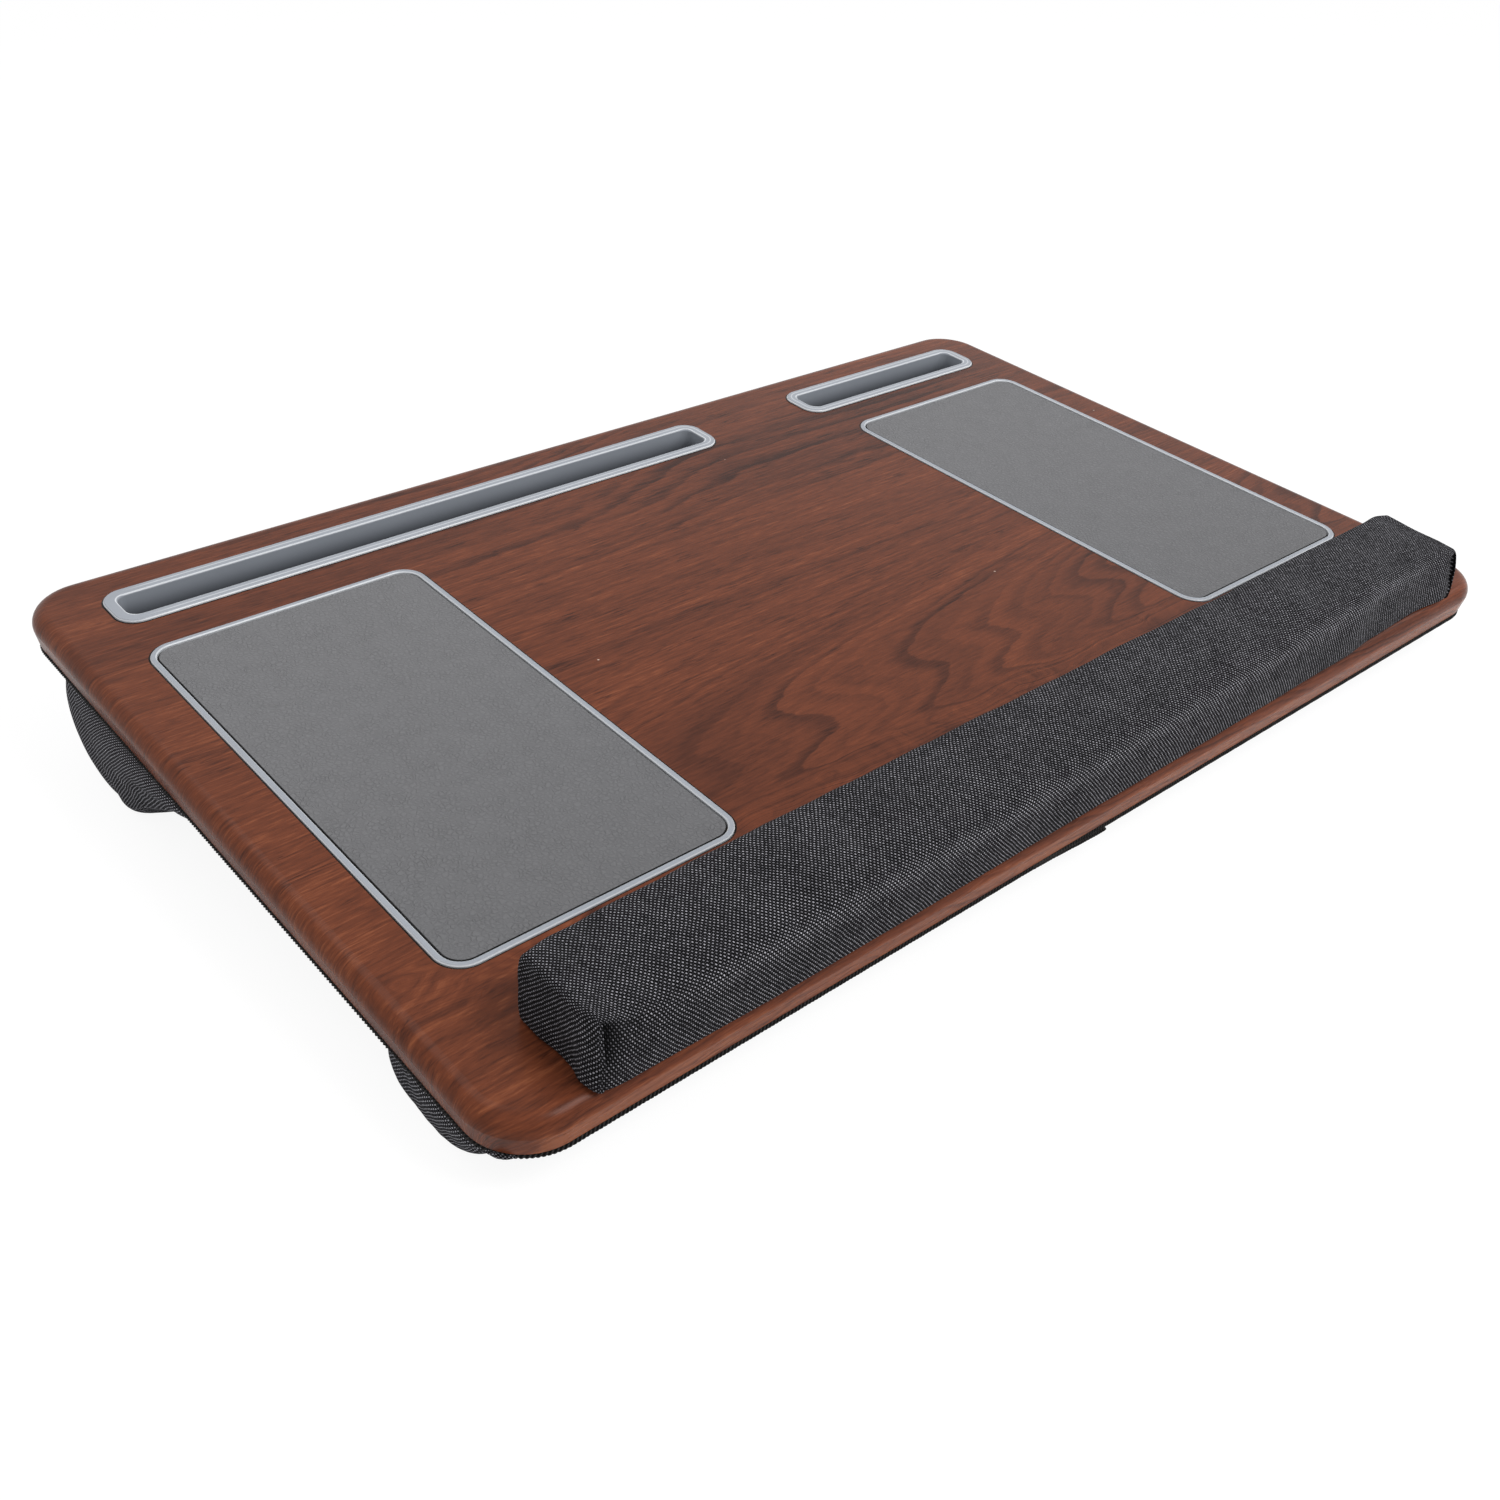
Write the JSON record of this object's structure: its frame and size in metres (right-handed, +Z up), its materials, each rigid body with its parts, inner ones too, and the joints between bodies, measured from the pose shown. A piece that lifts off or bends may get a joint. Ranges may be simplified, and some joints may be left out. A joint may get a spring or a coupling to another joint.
{
  "type": "lap tray with cushion",
  "caption": "Lap tray with a wood-effect board, inlaid leather pads, device slots, a padded wrist rest and a bolstered cushion underneath.",
  "frame": {"origin": "on the surface it stands on, under the middle of the tray's bounding box", "axes": "+X along the tray's long side to the user's right, +Y from the wrist rest to the device slots, +Z up; the board itself slopes up to the back"},
  "size_m": [0.603, 0.3848, 0.0714],
  "materials": {
    "fibreboard": "matt sawn fibreboard",
    "wood_film": "satin printed red-brown wood grain",
    "grey_moulding": "satin blue-grey moulded plastic",
    "grey_leather": "matt dark grey with a fine pebbled grain",
    "backing_sheet": "matt black",
    "charcoal_weave": "coarse charcoal plain weave with pale flecks",
    "foam": "open-cell foam",
    "adhesive_tape": "double-sided tape",
    "fibre_filling": "loose fibre wadding",
    "black_cord": "twisted black cord"
  },
  "bodies": {
    "root": {"board_core": "fibreboard", "wood_film": "wood_film", "tablet_trough": "grey_moulding", "phone_trough": "grey_moulding", "left_pad_frame": "grey_moulding", "right_pad_frame": "grey_moulding", "left_pad_leather": "grey_leather", "right_pad_leather": "grey_leather", "left_pad_backing": "backing_sheet", "right_pad_backing": "backing_sheet", "wrist_rest_cover": "charcoal_weave", "wrist_rest_foam": "foam", "wrist_rest_tape": "adhesive_tape", "base_fabric": "charcoal_weave", "edge_piping": "black_cord", "rear_bolster_cover": "charcoal_weave", "rear_bolster_filling": "fibre_filling", "front_bolster_cover": "charcoal_weave", "front_bolster_filling": "fibre_filling"}
  },
  "joints": []
}
